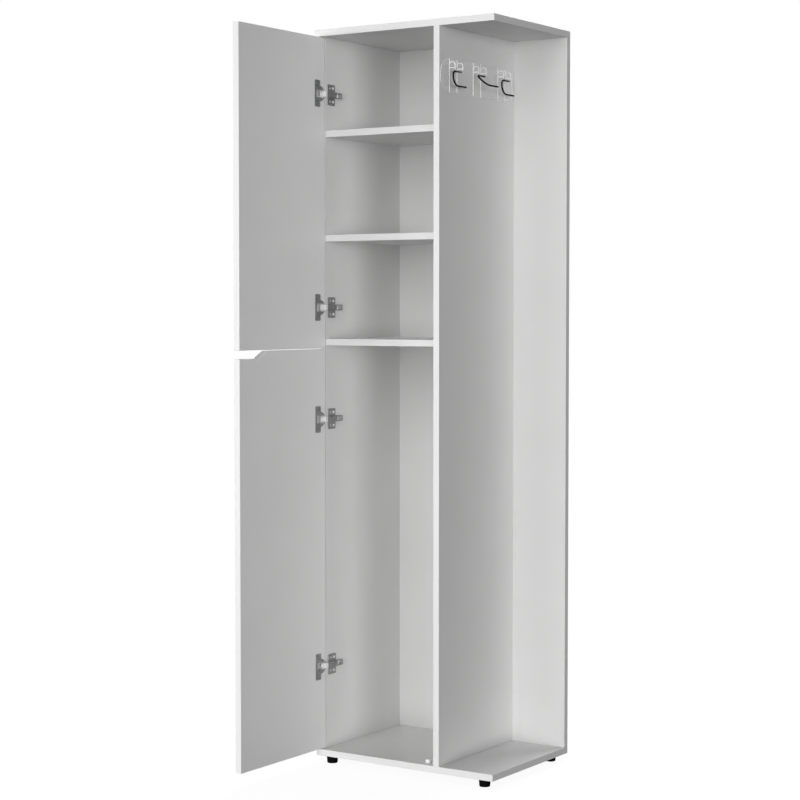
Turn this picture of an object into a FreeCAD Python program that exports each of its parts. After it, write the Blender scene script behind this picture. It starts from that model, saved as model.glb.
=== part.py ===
import FreeCAD, Part
import math
import os

# Broom cupboard of 16 mm white board: a shelved bay behind two doors on the left, and on the right
# an open bay for long-handled tools with a hook rail. It stands on the floor with both doors open square.
# Millimetres. X runs along the front, Y from the front to the back, Z up from the floor.

os.makedirs("parts", exist_ok=True)
V = FreeCAD.Vector
ALONG_X = V(1, 0, 0)
ALONG_Y = V(0, 1, 0)
UP = V(0, 0, 1)

# Carcass
board = 16.0
width = 500.0
depth = 357.0
carcass_height = 1756.0
foot_height = 18.0
divider_x = 337.0            # left face of the divider, from the outer left face
hole_play = 0.3              # around fasteners that only pass through or sit in a drilled hole

# Doors
door_edge_inset = 2.0        # from the outer left face to the hinge edge of a closed door
door_divider_gap = 1.5
door_end_gap = 1.5           # above the upper door and below the lower one
door_gap = 2.0               # between the doors
door_split_drop = 8.1        # from the underside of the lower shelf down to the middle of that gap
side_setback = 3.5           # from the inner face of a closed door back to the side panel
pull_depth = 17.5
pull_flat = 70.0
pull_ramp = 35.0

# Hinges
top_hinge_drop = 136.5       # from the top panel down to the highest hinge
upper_hinge_rise = 99.6      # from the gap between the doors up to the next one
lower_hinge_drop = 170.4     # from that gap down to the one below it
bottom_hinge_rise = 204.0    # from the bottom panel up to the lowest hinge
pin_depth = 7.0              # from the inner face of the door to the pin
pin_radius = 1.5
pin_half_length = 7.5
pin_clearance = 0.05
knuckle_radius = 2.4
knuckle_half_height = 4.0
cup_radius = 17.5
cup_wall = 0.8
cup_depth = 12.5
cup_edge = 3.0               # board left between the cup and the door's edge
lug_thickness = 3.0          # lugs inside the cup that hold the ends of the pin
lug_depth = 3.5              # from the mouth of the cup down to the lugs
lug_reach = 3.5              # past the pin, away from the door's edge
metal_corner = 3.0           # rounded corners of the flange and of the mounting plate
flange_thickness = 1.2
flange_radius = 19.5
wing_width = 23.0
wing_height = 64.0
wing_offset = 9.5
cup_screw_spacing = 45.0
arm_rise = 8.0               # from the side panel to the top of the arm
arm_thickness = 2.4
arm_half_height = 7.0
neck_front = 1.2             # faces of the neck in front of and behind the middle of the pin
neck_back = 1.0
arm_wall = 1.2
arm_start = 23.5             # front and rear ends of the arm's channel, from the front of the carcass
arm_end = 79.0
plate_thickness = 2.0
plate_start = 26.0
plate_width = 30.0
plate_height = 50.0
plate_screw_spacing = 32.0
plate_hole_offset = 6.0
arm_screw_y = 50.0

# Shelves, from the top down
upper_shelf_drop = 223.5     # clear height above the upper shelf
shelf_pitch = 250.5
shelf_names = ["upper_shelf", "middle_shelf", "lower_shelf"]
cam_inset = 24.0             # from the end of the shelf to the middle of the cam
cam_radius = 7.2
cam_height = 12.0
cam_front_inset = 37.0
cam_back_inset = 41.5

# Feet and door stop
foot_top_radius = 14.0
foot_bottom_radius = 12.5
foot_rim = 1.5               # rounding of the lower rim
foot_side_inset = 33.0
foot_front_inset = 20.0
foot_back_inset = 27.0
stop_width = 12.0
stop_height = 9.0
stop_divider_gap = 20.0
stop_door_gap = 0.3
stop_corner = 1.0

# Hook rail
rail_front_gap = 0.5         # from the front of the divider
rail_back_gap = 15.0         # from the back panel
rail_drop = 111.5            # from the top panel down to the middle of the rail
rail_height = 78.0
rail_thickness = 2.5
pad_thickness = 1.0
pad_width = 60.0
pad_height = 50.0
band_width = 34.0
band_thickness = 2.5
hook_front_inset = 52.0      # from the front end of the rail to the front hook
hook_rear_inset = 54.0       # from its rear end to the rear hook
hook_middle_lead = 4.0       # how far the middle hook is in front of halfway between them
hook_standoff = 19.0         # from the divider to the hook's pivot
hook_rise = 9.0              # pivot above the middle of the rail
curl_rise = 32.5             # top of the curl above the middle of the rail
web_rise = 16.0              # underside of the web that closes the curl, above the middle of the rail
barrel_radius = 4.5
barrel_length = 22.0
barrel_grip = 1.5            # how far the lip of the curl runs into the barrel
wire_radius = 2.0
wire_clearance = 0.06
wire_upper_bend = 9.0
wire_lower_bend = 22.0
wire_drop = 33.0             # from the upper arm to the lower one
wire_upper_reach = 14.5      # arms of the wire, to the rear of the middle of the holder
wire_lower_reach = 36.0
wire_front_reach = 13.0      # upper arm, to the front of the middle of the holder
middle_hook_angle = 45.0     # how far the middle hook is swung out

# Derived positions
pin_from_left = board - pin_depth
pin_from_front = board - pin_depth
pin_inset = pin_from_left - door_edge_inset
door_width = divider_x - door_divider_gap - door_edge_inset
door_reach = door_width - pin_from_front - pin_inset
left = -width / 2
front = (door_reach - depth) / 2
base = foot_height
side_inner = left + board
side_front = front + board + side_setback
divider_left = left + divider_x
divider_right = divider_left + board
back_front = front + depth - board
pin_x = left + pin_from_left
pin_y = front + pin_from_front
door_inner = pin_x + pin_depth
door_edge = pin_y + pin_inset
door_free_end = door_edge - door_width
cup_y = door_edge - cup_edge - cup_radius
wing_y = cup_y - wing_offset
floor_top = base + board
ceiling = base + carcass_height - board
shelf_tops = [ceiling - upper_shelf_drop - n * shelf_pitch for n in range(len(shelf_names))]
shelf_depth = back_front - side_front
door_split = shelf_tops[-1] - board - door_split_drop


def block(x0, x1, y0, y1, z0, z1):
    return Part.makeBox(x1 - x0, y1 - y0, z1 - z0, V(x0, y0, z0))


def rod(radius, length, start, direction):
    return Part.makeCylinder(radius, length, start, direction)


def outline(points, direction):
    face = Part.Face(Part.makePolygon(points + [points[0]]))
    return face.extrude(direction)


def round_edges(shape, direction, radius):
    # Rounds the straight edges that run along one direction.
    edges = []
    for edge in shape.Edges:
        straight = isinstance(edge.Curve, Part.Line)
        if straight and edge.tangentAt(edge.FirstParameter).cross(direction).Length < 1e-6:
            edges.append(edge)
    return shape.makeFillet(radius, edges)


def cut_all(shape, tools):
    for tool in tools:
        shape = shape.cut(tool)
    return shape


def save(name, shapes):
    shape = shapes[0] if len(shapes) == 1 else Part.makeCompound(shapes)
    shape.exportStep("parts/" + name + ".step")


# Joining screws with a flat head let in flush, a plain neck through the first board
# and a threaded core in the edge of the second.
screw_head_radius = 4.7
screw_head_height = 3.0
screw_neck_radius = 3.2
screw_core_radius = 2.3
screw_length = 50.0
screw_end_play = 1.0         # left at the bottom of a drilled hole
screw_front_inset = 60.0     # from the front and rear ends of an upright
screw_back_inset = 50.0
screw_row_inset = 200.0      # from the top and bottom of the carcass


def joining_screw(head, direction):
    screw = rod(screw_head_radius, screw_head_height, head, direction)
    screw = screw.fuse(rod(screw_neck_radius, board, head, direction))
    return screw.fuse(rod(screw_core_radius, screw_length, head, direction)).removeSplitter()


def joining_hole(head, direction):
    hole = rod(screw_head_radius + hole_play, screw_head_height, head, direction)
    hole = hole.fuse(rod(screw_neck_radius + hole_play, board, head, direction))
    return hole.fuse(rod(screw_core_radius + hole_play, screw_length + screw_end_play, head, direction))


def small_screw(seat, direction, head_radius, head_height, shank_radius, shank_length):
    # Pan-head screw: the head stands on the seat and the shank goes on from it along the direction.
    screw = rod(head_radius, head_height, seat - direction * head_height, direction)
    return screw.fuse(rod(shank_radius, shank_length, seat, direction)).removeSplitter()


side_middle = left + board / 2
divider_middle = divider_left + board / 2
back_middle = back_front + board / 2
end_points = [((side_inner + divider_left) / 2, back_middle),
              ((divider_right + left + width) / 2, back_middle)]
for x, upright_front in ((side_middle, side_front), (divider_middle, front)):
    end_points.append((x, upright_front + screw_front_inset))
    end_points.append((x, back_front - screw_back_inset))
row_heights = [base + screw_row_inset, base + carcass_height / 2, base + carcass_height - screw_row_inset]
top_screw_heads = [V(x, y, base + carcass_height) for x, y in end_points]
bottom_screw_heads = [V(x, y, base) for x, y in end_points]
back_screw_heads = [V(divider_middle, front + depth, z) for z in row_heights]
side_screw_heads = [V(left, back_middle, z) for z in row_heights]
top_screw_holes = [joining_hole(p, -UP) for p in top_screw_heads]
bottom_screw_holes = [joining_hole(p, UP) for p in bottom_screw_heads]
back_screw_holes = [joining_hole(p, -ALONG_Y) for p in back_screw_heads]
side_screw_holes = [joining_hole(p, ALONG_X) for p in side_screw_heads]
save("top_screws", [joining_screw(p, -UP) for p in top_screw_heads])
save("bottom_screws", [joining_screw(p, UP) for p in bottom_screw_heads])
save("back_screws", [joining_screw(p, -ALONG_Y) for p in back_screw_heads])
save("side_screws", [joining_screw(p, ALONG_X) for p in side_screw_heads])

# Shelf fittings. A steel bolt screwed into the upright ends in a head that a cam in the underside
# of the shelf turns against, and a wooden dowel between them keeps the shelf from tilting.
bolt_anchor = 10.0
bolt_anchor_radius = 2.6
bolt_neck_radius = 2.2
bolt_head_radius = 3.4
bolt_head_length = 4.0
dowel_radius = 4.0
dowel_in_upright = 9.0
dowel_in_shelf = 20.0


def cam_bolt(start, inward):
    bolt = rod(bolt_anchor_radius, bolt_anchor, start, -inward)
    bolt = bolt.fuse(rod(bolt_neck_radius, cam_inset, start, inward))
    head_start = start + inward * (cam_inset - bolt_head_length / 2)
    return bolt.fuse(rod(bolt_head_radius, bolt_head_length, head_start, inward)).removeSplitter()


cam_bolts = []
cam_locks = []
dowels = []
upright_holes = []
for name, top in zip(shelf_names, shelf_tops):
    shelf = block(side_inner, divider_left, side_front, back_front, top - board, top)
    middle = top - board / 2
    cam_floor = top - board
    for face_x, inward in ((side_inner, ALONG_X), (divider_left, -ALONG_X)):
        for row in (side_front + cam_front_inset, back_front - cam_back_inset):
            start = V(face_x, row, middle)
            bolt_way = rod(bolt_head_radius + hole_play, cam_inset + bolt_head_length, start, inward)
            cam_base = V(face_x, row, cam_floor) + inward * cam_inset
            cam_pocket = rod(cam_radius + hole_play, cam_height + hole_play, cam_base, UP)
            cam_bolts.append(cam_bolt(start, inward))
            cam_locks.append(rod(cam_radius, cam_height, cam_base, UP).cut(bolt_way))
            shelf = shelf.cut(bolt_way).cut(cam_pocket)
            anchor_depth = bolt_anchor + screw_end_play
            upright_holes.append(rod(bolt_anchor_radius + hole_play, anchor_depth, start, -inward))
        start = V(face_x, side_front + shelf_depth / 2, middle)
        dowel_start = start - inward * dowel_in_upright
        dowels.append(rod(dowel_radius, dowel_in_upright + dowel_in_shelf, dowel_start, inward))
        shelf = shelf.cut(rod(dowel_radius + hole_play, dowel_in_shelf + screw_end_play, start, inward))
        upright_holes.append(rod(dowel_radius + hole_play, dowel_in_upright + screw_end_play, start, -inward))
    save(name, [shelf])
save("cam_bolts", cam_bolts)
save("cam_locks", cam_locks)
save("dowels", dowels)

# Hinges: a cup with a winged flange let into the door, an arm that reaches round into the cup
# and turns there on a pin, and a plate on the side panel that carries the arm.
cup_screw_length = 10.0
plate_screw_length = 12.0
small_shank_radius = 1.5
small_hole_radius = small_shank_radius + hole_play
small_head_radius = 3.4
small_head_height = 1.6
plate_middle_y = front + plate_start + plate_width / 2
plate_top = side_inner + plate_thickness
arm_top = side_inner + arm_rise
arm_bottom = arm_top - arm_thickness
hinges = {"upper_door_top": ceiling - top_hinge_drop,
          "upper_door_bottom": door_split + upper_hinge_rise,
          "lower_door_top": door_split - lower_hinge_drop,
          "lower_door_bottom": floor_top + bottom_hinge_rise}
door_holes = {"upper_door": [], "lower_door": []}
cup_screws = {"upper_door": [], "lower_door": []}
plate_screws = []
arm_screws = []
side_holes = []
for name, z in hinges.items():
    door_name = name.rsplit("_", 1)[0]
    cup_mouth = V(door_inner, cup_y, z)
    pin = rod(pin_radius, 2 * pin_half_length, V(pin_x, pin_y, z - pin_half_length), UP)

    wing = block(door_inner, door_inner + flange_thickness, wing_y - wing_width / 2, wing_y + wing_width / 2,
                 z - wing_height / 2, z + wing_height / 2)
    rim = rod(flange_radius, flange_thickness, cup_mouth, ALONG_X)
    cup = round_edges(wing, ALONG_X, metal_corner).fuse(rim)
    cup = cup.fuse(rod(cup_radius, cup_depth, cup_mouth, -ALONG_X))
    hollow_start = V(door_inner - cup_depth + cup_wall, cup_y, z)
    cup = cup.cut(rod(cup_radius - cup_wall, cup_depth + flange_thickness, hollow_start, ALONG_X))
    for lug_z in (z - pin_half_length, z + pin_half_length - lug_thickness):
        lug = block(door_inner - cup_depth, door_inner - lug_depth, pin_y - lug_reach, door_edge,
                    lug_z, lug_z + lug_thickness)
        cup = cup.fuse(lug.common(rod(cup_radius, cup_depth, cup_mouth, -ALONG_X)))
    cup = cup.cut(pin)
    door_holes[door_name].append(rod(cup_radius + hole_play, cup_depth, cup_mouth, -ALONG_X))
    for side in (-1, 1):
        seat = V(door_inner + flange_thickness, wing_y, z + side * cup_screw_spacing / 2)
        cup_screw_hole = rod(small_hole_radius, cup_screw_length + screw_end_play, seat, -ALONG_X)
        cup = cup.cut(cup_screw_hole)
        door_holes[door_name].append(cup_screw_hole)
        cup_screws[door_name].append(small_screw(seat, -ALONG_X, small_head_radius, small_head_height,
                                                 small_shank_radius, cup_screw_length))
    save("hinge_cup_" + name, [cup.removeSplitter()])
    save("hinge_pin_" + name, [pin])

    neck_low = z - knuckle_half_height
    neck_up = V(0, 0, 2 * knuckle_half_height)
    neck_end = front + arm_start + arm_wall
    neck_points = [V(pin_x, pin_y - neck_front, neck_low), V(arm_top, pin_y - neck_front, neck_low),
                   V(arm_top, neck_end, neck_low), V(arm_bottom, neck_end, neck_low),
                   V(arm_bottom, pin_y + neck_back, neck_low), V(pin_x, pin_y + neck_back, neck_low)]
    knuckle = rod(knuckle_radius, 2 * knuckle_half_height, V(pin_x, pin_y, neck_low), UP)
    bore = rod(pin_radius + pin_clearance, 2 * knuckle_half_height, V(pin_x, pin_y, neck_low), UP)
    channel = block(plate_top, arm_top, front + arm_start, front + arm_end,
                    z - arm_half_height, z + arm_half_height)
    inside = arm_half_height - arm_wall
    channel = channel.cut(block(plate_top, arm_bottom, front + arm_start, front + arm_end,
                                z - inside, z + inside))
    arm = outline(neck_points, neck_up).fuse(knuckle).cut(bore).fuse(channel)
    arm_seat = V(arm_top, front + arm_screw_y, z)
    arm_screw_hole = rod(small_hole_radius, arm_rise, arm_seat, -ALONG_X)
    arm = arm.cut(arm_screw_hole)
    save("hinge_arm_" + name, [arm.removeSplitter()])
    arm_screws.append(small_screw(arm_seat, -ALONG_X, small_head_radius, small_head_height,
                                  small_shank_radius, arm_top - side_inner - hole_play))

    plate = block(side_inner, plate_top, front + plate_start, front + plate_start + plate_width,
                  z - plate_height / 2, z + plate_height / 2)
    plate = round_edges(plate, ALONG_X, metal_corner).cut(arm_screw_hole)
    for side in (-1, 1):
        screw_z = z + side * plate_screw_spacing / 2
        seat = V(plate_top, plate_middle_y + plate_hole_offset, screw_z)
        spare = V(plate_top, plate_middle_y - plate_hole_offset, screw_z)
        plate = plate.cut(rod(small_hole_radius, plate_thickness, seat, -ALONG_X))
        plate = plate.cut(rod(small_hole_radius, plate_thickness, spare, -ALONG_X))
        plate_screws.append(small_screw(seat, -ALONG_X, small_head_radius, small_head_height,
                                        small_shank_radius, plate_screw_length))
        side_holes.append(rod(small_hole_radius, plate_screw_length + screw_end_play, seat, -ALONG_X))
    save("hinge_plate_" + name, [plate])
save("upper_door_cup_screws", cup_screws["upper_door"])
save("lower_door_cup_screws", cup_screws["lower_door"])
save("hinge_plate_screws", plate_screws)
save("hinge_arm_screws", arm_screws)

# Doors, standing square to the front. The lower one has a sloping finger pull in its top corner.
door_outer = door_inner - board
lower_door_top = door_split - door_gap / 2
upper_door = block(door_outer, door_inner, door_free_end, door_edge, door_split + door_gap / 2,
                   ceiling - door_end_gap)
lower_door = block(door_outer, door_inner, door_free_end, door_edge, floor_top + door_end_gap, lower_door_top)
pull_floor = lower_door_top - pull_depth
pull_points = [V(door_outer, door_free_end, pull_floor),
               V(door_outer, door_free_end + pull_flat, pull_floor),
               V(door_outer, door_free_end + pull_flat + pull_ramp, lower_door_top),
               V(door_outer, door_free_end, lower_door_top)]
lower_door = lower_door.cut(outline(pull_points, V(board, 0, 0)))
save("upper_door", [cut_all(upper_door, door_holes["upper_door"])])
save("lower_door", [cut_all(lower_door, door_holes["lower_door"])])

# Feet: short tapered plugs, each held from below by a screw whose head is sunk in the foot.
foot_screw_head_radius = 4.0
foot_screw_head_height = 2.4
foot_screw_radius = 2.0
foot_screw_grip = 9.0        # thread in the bottom panel
foot_seat = 8.0              # from the underside of the bottom panel down to the screw's head
foot_positions = {"front_left": (left + foot_side_inset, front + foot_front_inset),
                  "front_right": (left + width - foot_side_inset, front + foot_front_inset),
                  "rear_left": (left + foot_side_inset, front + depth - foot_back_inset),
                  "rear_right": (left + width - foot_side_inset, front + depth - foot_back_inset)}
foot_screws = []
foot_holes = []
for name, (x, y) in foot_positions.items():
    foot = Part.makeCone(foot_bottom_radius, foot_top_radius, foot_height, V(x, y, 0), UP)
    rim = [edge for edge in foot.Edges if edge.BoundBox.ZMax < 0.01]
    foot = foot.makeFillet(foot_rim, rim)
    seat = V(x, y, base - foot_seat)
    foot = foot.cut(rod(foot_screw_radius + hole_play, foot_seat, seat, UP))
    foot = foot.cut(rod(foot_screw_head_radius + hole_play, foot_height - foot_seat, V(x, y, 0), UP))
    save("foot_" + name, [foot])
    foot_screws.append(small_screw(seat, UP, foot_screw_head_radius, foot_screw_head_height,
                                   foot_screw_radius, foot_seat + foot_screw_grip))
    foot_holes.append(rod(foot_screw_radius + hole_play, foot_screw_grip + screw_end_play, V(x, y, base), UP))
save("foot_screws", foot_screws)

# Door stop: a small block plugged into the bottom panel, which the lower door shuts against.
stop_right = divider_left - stop_divider_gap
stop_front = front + board + stop_door_gap
stop_peg_radius = 2.5
stop_peg_length = 8.0
stop_middle = V(stop_right - stop_width / 2, stop_front + stop_width / 2, floor_top)
stop = block(stop_right - stop_width, stop_right, stop_front, stop_front + stop_width, floor_top,
             floor_top + stop_height)
stop = round_edges(stop, UP, stop_corner)
save("door_stop", [stop.fuse(rod(stop_peg_radius, stop_peg_length, stop_middle, -UP)).removeSplitter()])
stop_hole = rod(stop_peg_radius + hole_play, stop_peg_length + screw_end_play, stop_middle, -UP)

# Hook rail: a clear plate with round ends on the divider. Three clear holders stand on it, each a band
# with a closed curl at its upper end. The top arm of a bent wire hook turns in a barrel under the curl.
rail_back = divider_right + pad_thickness
rail_face = rail_back + rail_thickness
band_face = rail_face + band_thickness
rail_start = front + rail_front_gap
rail_end = back_front - rail_back_gap
rail_middle = ceiling - rail_drop
rail_low = rail_middle - rail_height / 2
rail = block(rail_back, rail_face, rail_start, rail_end, rail_low, rail_low + rail_height)
save("rail_plate", [round_edges(rail, ALONG_X, rail_height / 2 - 0.01)])

hook_x = divider_right + hook_standoff
hook_z = rail_middle + hook_rise
curl_outer = (hook_x + barrel_radius - barrel_grip - rail_face) / 2
curl_inner = curl_outer - band_thickness
curl_x = rail_face + curl_outer
curl_z = rail_middle + curl_rise - curl_outer
lip_low = hook_z + barrel_radius - barrel_grip
web_low = rail_middle + web_rise
front_station = rail_start + hook_front_inset
rear_station = rail_end - hook_rear_inset
hook_stations = {"front": front_station,
                 "middle": (front_station + rear_station) / 2 - hook_middle_lead,
                 "rear": rear_station}
for name, y in hook_stations.items():
    y0 = y - band_width / 2
    y1 = y + band_width / 2
    band = block(rail_face, band_face, y0, y1, rail_low, rail_low + rail_height)
    bow = rod(curl_outer, band_width, V(curl_x, y0, curl_z), ALONG_Y)
    bow = bow.cut(rod(curl_inner, band_width, V(curl_x, y0, curl_z), ALONG_Y))
    bow = bow.cut(block(rail_face - 1, curl_x + curl_outer + 1, y0, y1, curl_z - 2 * curl_outer, curl_z))
    lip = block(curl_x + curl_inner, curl_x + curl_outer, y0, y1, lip_low, curl_z)
    web = block(rail_face, curl_x + curl_outer, y0, y1, web_low, web_low + band_thickness)
    barrel = rod(barrel_radius, barrel_length, V(hook_x, y - barrel_length / 2, hook_z), ALONG_Y)
    bore = rod(wire_radius + wire_clearance, band_width, V(hook_x, y0, hook_z), ALONG_Y)
    save("hook_holder_" + name, [band.fuse([bow, lip, web, barrel]).cut(bore).removeSplitter()])
pads = []
for y in (hook_stations["front"], hook_stations["rear"]):
    pads.append(block(divider_right, rail_back, y - pad_width / 2, y + pad_width / 2,
                      rail_middle - pad_height / 2, rail_middle + pad_height / 2))
save("rail_pads", pads)


def wire_hook(y, angle):
    # Round wire bent to an open C: the top arm lies in the barrel and the longer lower arm takes the load.
    turn = math.sqrt(0.5)
    front_y = y - wire_front_reach
    bend_y = front_y - wire_upper_bend
    lower_z = hook_z - wire_drop
    top_end = V(hook_x, y + wire_upper_reach, hook_z)
    top_start = V(hook_x, front_y, hook_z)
    upper_mid = V(hook_x, front_y - wire_upper_bend * turn, hook_z - wire_upper_bend * (1 - turn))
    upper_low = V(hook_x, bend_y, hook_z - wire_upper_bend)
    lower_top = V(hook_x, bend_y, lower_z + wire_lower_bend)
    lower_mid = V(hook_x, bend_y + wire_lower_bend * (1 - turn), lower_z + wire_lower_bend * (1 - turn))
    arm_start_point = V(hook_x, bend_y + wire_lower_bend, lower_z)
    arm_end_point = V(hook_x, y + wire_lower_reach, lower_z)
    path = Part.Wire([Part.makeLine(top_end, top_start),
                      Part.Arc(top_start, upper_mid, upper_low).toShape(),
                      Part.makeLine(upper_low, lower_top),
                      Part.Arc(lower_top, lower_mid, arm_start_point).toShape(),
                      Part.makeLine(arm_start_point, arm_end_point)])
    section = Part.Wire([Part.makeCircle(wire_radius, top_end, ALONG_Y)])
    hook = path.makePipeShell([section], True, False)
    hook.rotate(V(hook_x, y, hook_z), -ALONG_Y, angle)
    return hook


for name, y in hook_stations.items():
    save("hook_" + name, [wire_hook(y, middle_hook_angle if name == "middle" else 0.0)])

# Boards of the carcass, drilled for everything that is fixed to them.
top_panel = block(left, left + width, front, front + depth, ceiling, ceiling + board)
bottom_panel = block(left, left + width, front, front + depth, base, floor_top)
side_panel = block(left, side_inner, side_front, front + depth, floor_top, ceiling)
divider = block(divider_left, divider_right, front, back_front, floor_top, ceiling)
back_panel = block(side_inner, left + width, back_front, front + depth, floor_top, ceiling)
save("top_panel", [cut_all(top_panel, top_screw_holes)])
save("bottom_panel", [cut_all(bottom_panel, bottom_screw_holes + foot_holes + [stop_hole])])
end_holes = top_screw_holes + bottom_screw_holes
save("left_side_panel", [cut_all(side_panel, end_holes + side_screw_holes + side_holes + upright_holes)])
save("divider", [cut_all(divider, end_holes + back_screw_holes + upright_holes)])
save("back_panel", [cut_all(back_panel, end_holes + back_screw_holes + side_screw_holes)])
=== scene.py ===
import bmesh
import bpy
import math
from mathutils import Matrix, Vector


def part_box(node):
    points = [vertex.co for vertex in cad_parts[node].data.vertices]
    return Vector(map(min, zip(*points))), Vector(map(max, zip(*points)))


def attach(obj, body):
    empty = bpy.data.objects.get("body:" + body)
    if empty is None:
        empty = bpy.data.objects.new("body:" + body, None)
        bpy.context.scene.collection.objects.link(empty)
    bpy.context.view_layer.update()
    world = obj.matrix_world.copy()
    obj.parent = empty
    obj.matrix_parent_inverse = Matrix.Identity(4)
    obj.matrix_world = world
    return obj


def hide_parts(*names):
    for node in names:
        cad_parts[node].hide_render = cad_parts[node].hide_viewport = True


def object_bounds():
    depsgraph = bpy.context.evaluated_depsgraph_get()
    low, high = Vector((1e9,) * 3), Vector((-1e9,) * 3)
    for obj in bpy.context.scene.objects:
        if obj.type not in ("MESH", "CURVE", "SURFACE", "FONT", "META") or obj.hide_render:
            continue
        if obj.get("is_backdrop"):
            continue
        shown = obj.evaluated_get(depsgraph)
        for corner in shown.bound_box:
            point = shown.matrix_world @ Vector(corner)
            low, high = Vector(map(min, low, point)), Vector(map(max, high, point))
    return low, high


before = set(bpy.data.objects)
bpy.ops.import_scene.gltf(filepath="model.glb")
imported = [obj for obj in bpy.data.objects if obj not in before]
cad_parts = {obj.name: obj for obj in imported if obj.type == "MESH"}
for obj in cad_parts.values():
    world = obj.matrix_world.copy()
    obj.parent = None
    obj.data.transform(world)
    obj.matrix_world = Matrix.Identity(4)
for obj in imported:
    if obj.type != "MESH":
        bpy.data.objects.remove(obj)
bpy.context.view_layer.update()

# Carcass boards: bottom, left side, divider, back and top. Each is 16 mm particle board faced with white
# melamine and edged with a thin plastic band, rounded over where the band is trimmed flush.
# They are butted together and held by long screws through the faces.
band_round = 0.0007        # radius of the trimmed band
shortest_banded = 0.012    # shorter edges, such as the rims of holes, stay sharp
square_on = 0.99           # a face of the board looks this nearly along its axis
weld = 2e-6                # corners closer than this are one
board_axis = {"bottom_panel": 2, "left_side_panel": 0, "divider": 0, "back_panel": 1, "top_panel": 2}


def new_finish(name, colour, roughness, metallic=0.0):
    # A new material in one plain colour, which the next functions give its detail.
    finish = bpy.data.materials.new(name)
    finish.use_nodes = True
    shader = finish.node_tree.nodes["Principled BSDF"]
    shader.inputs["Base Color"].default_value = (*colour, 1.0)
    shader.inputs["Roughness"].default_value = roughness
    shader.inputs["Metallic"].default_value = metallic
    return finish


def mottle(finish, scale, detail=3.0, stretch=(1.0, 1.0, 1.0)):
    # Noise in the piece's own place, drawn out along one direction by a stretch below one.
    nodes, links = finish.node_tree.nodes, finish.node_tree.links
    place = nodes.new("ShaderNodeTexCoord")
    mapping = nodes.new("ShaderNodeMapping")
    mapping.inputs["Scale"].default_value = stretch
    noise = nodes.new("ShaderNodeTexNoise")
    noise.inputs["Scale"].default_value = scale
    noise.inputs["Detail"].default_value = detail
    links.new(place.outputs["Object"], mapping.inputs["Vector"])
    links.new(mapping.outputs["Vector"], noise.inputs["Vector"])
    return noise.outputs["Fac"]


def tones(finish, factor, dark, light):
    # Colour between two tones.
    nodes, links = finish.node_tree.nodes, finish.node_tree.links
    ramp = nodes.new("ShaderNodeValToRGB")
    ramp.color_ramp.elements[0].position = 0.3
    ramp.color_ramp.elements[0].color = (*dark, 1.0)
    ramp.color_ramp.elements[1].position = 0.7
    ramp.color_ramp.elements[1].color = (*light, 1.0)
    links.new(factor, ramp.inputs["Fac"])
    links.new(ramp.outputs["Color"], nodes["Principled BSDF"].inputs["Base Color"])


def gloss(finish, factor, smooth, rough):
    # Roughness between two values.
    nodes, links = finish.node_tree.nodes, finish.node_tree.links
    span = nodes.new("ShaderNodeMapRange")
    span.inputs["From Min"].default_value = 0.3
    span.inputs["From Max"].default_value = 0.7
    span.inputs["To Min"].default_value = smooth
    span.inputs["To Max"].default_value = rough
    links.new(factor, span.inputs["Value"])
    links.new(span.outputs["Result"], nodes["Principled BSDF"].inputs["Roughness"])


def relief(finish, factor, depth, strength=0.3):
    # Fine relief of the surface, its depth in metres.
    nodes, links = finish.node_tree.nodes, finish.node_tree.links
    bump = nodes.new("ShaderNodeBump")
    bump.inputs["Strength"].default_value = strength
    bump.inputs["Distance"].default_value = depth
    links.new(factor, bump.inputs["Height"])
    links.new(bump.outputs["Normal"], nodes["Principled BSDF"].inputs["Normal"])


def melamine(name, dark, light):
    # Satin facing with a faint cloudiness and a pearl grain that shows close up.
    finish = new_finish(name, light, 0.42)
    tones(finish, mottle(finish, 7.0, 5.0), dark, light)
    gloss(finish, mottle(finish, 60.0, 4.0), 0.36, 0.48)
    relief(finish, mottle(finish, 900.0, 2.0), 0.00006)
    return finish


def edge_band(name, stretch, dark, light):
    # Plastic band with fine streaks along its run.
    finish = new_finish(name, light, 0.36)
    streaks = mottle(finish, 1.0, 4.0, stretch)
    tones(finish, streaks, dark, light)
    gloss(finish, streaks, 0.30, 0.42)
    relief(finish, streaks, 0.00005)
    return finish


def softened(node, radius, shortest, finishes, choose, steps=2):
    # A copy of a solid with its long sharp edges rounded over. choose gives the finish of each face.
    flat_within, sharp_from, smooth_below = math.radians(0.5), math.radians(40), math.radians(22)
    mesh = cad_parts[node].data.copy()
    mesh.name = node + "_rounded"
    mesh.materials.clear()
    for finish in finishes:
        mesh.materials.append(finish)
    shape = bmesh.new()
    shape.from_mesh(mesh)
    bmesh.ops.remove_doubles(shape, verts=shape.verts, dist=weld)
    bmesh.ops.dissolve_limit(shape, angle_limit=flat_within, verts=shape.verts, edges=shape.edges)
    sharp = [edge for edge in shape.edges if len(edge.link_faces) == 2
             and edge.calc_length() > shortest and edge.calc_face_angle(0.0) > sharp_from]
    bmesh.ops.bevel(shape, geom=sharp, offset=radius, segments=steps, profile=0.5, affect="EDGES")
    for face in shape.faces:
        face.material_index = choose(face)
        face.smooth = True
    for edge in shape.edges:
        edge.smooth = len(edge.link_faces) == 2 and edge.calc_face_angle(0.0) < smooth_below
    shape.to_mesh(mesh)
    shape.free()
    piece = bpy.data.objects.new(node + "_finished", mesh)
    bpy.context.scene.collection.objects.link(piece)
    return piece


board_face = melamine("white_melamine", (0.785, 0.785, 0.782), (0.805, 0.805, 0.803))
band_tones = ((0.800, 0.800, 0.798), (0.840, 0.840, 0.838))
upright_band = edge_band("white_edge_band_upright", (700.0, 700.0, 4.0), *band_tones)
level_band = edge_band("white_edge_band_level", (4.0, 4.0, 700.0), *band_tones)


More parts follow.
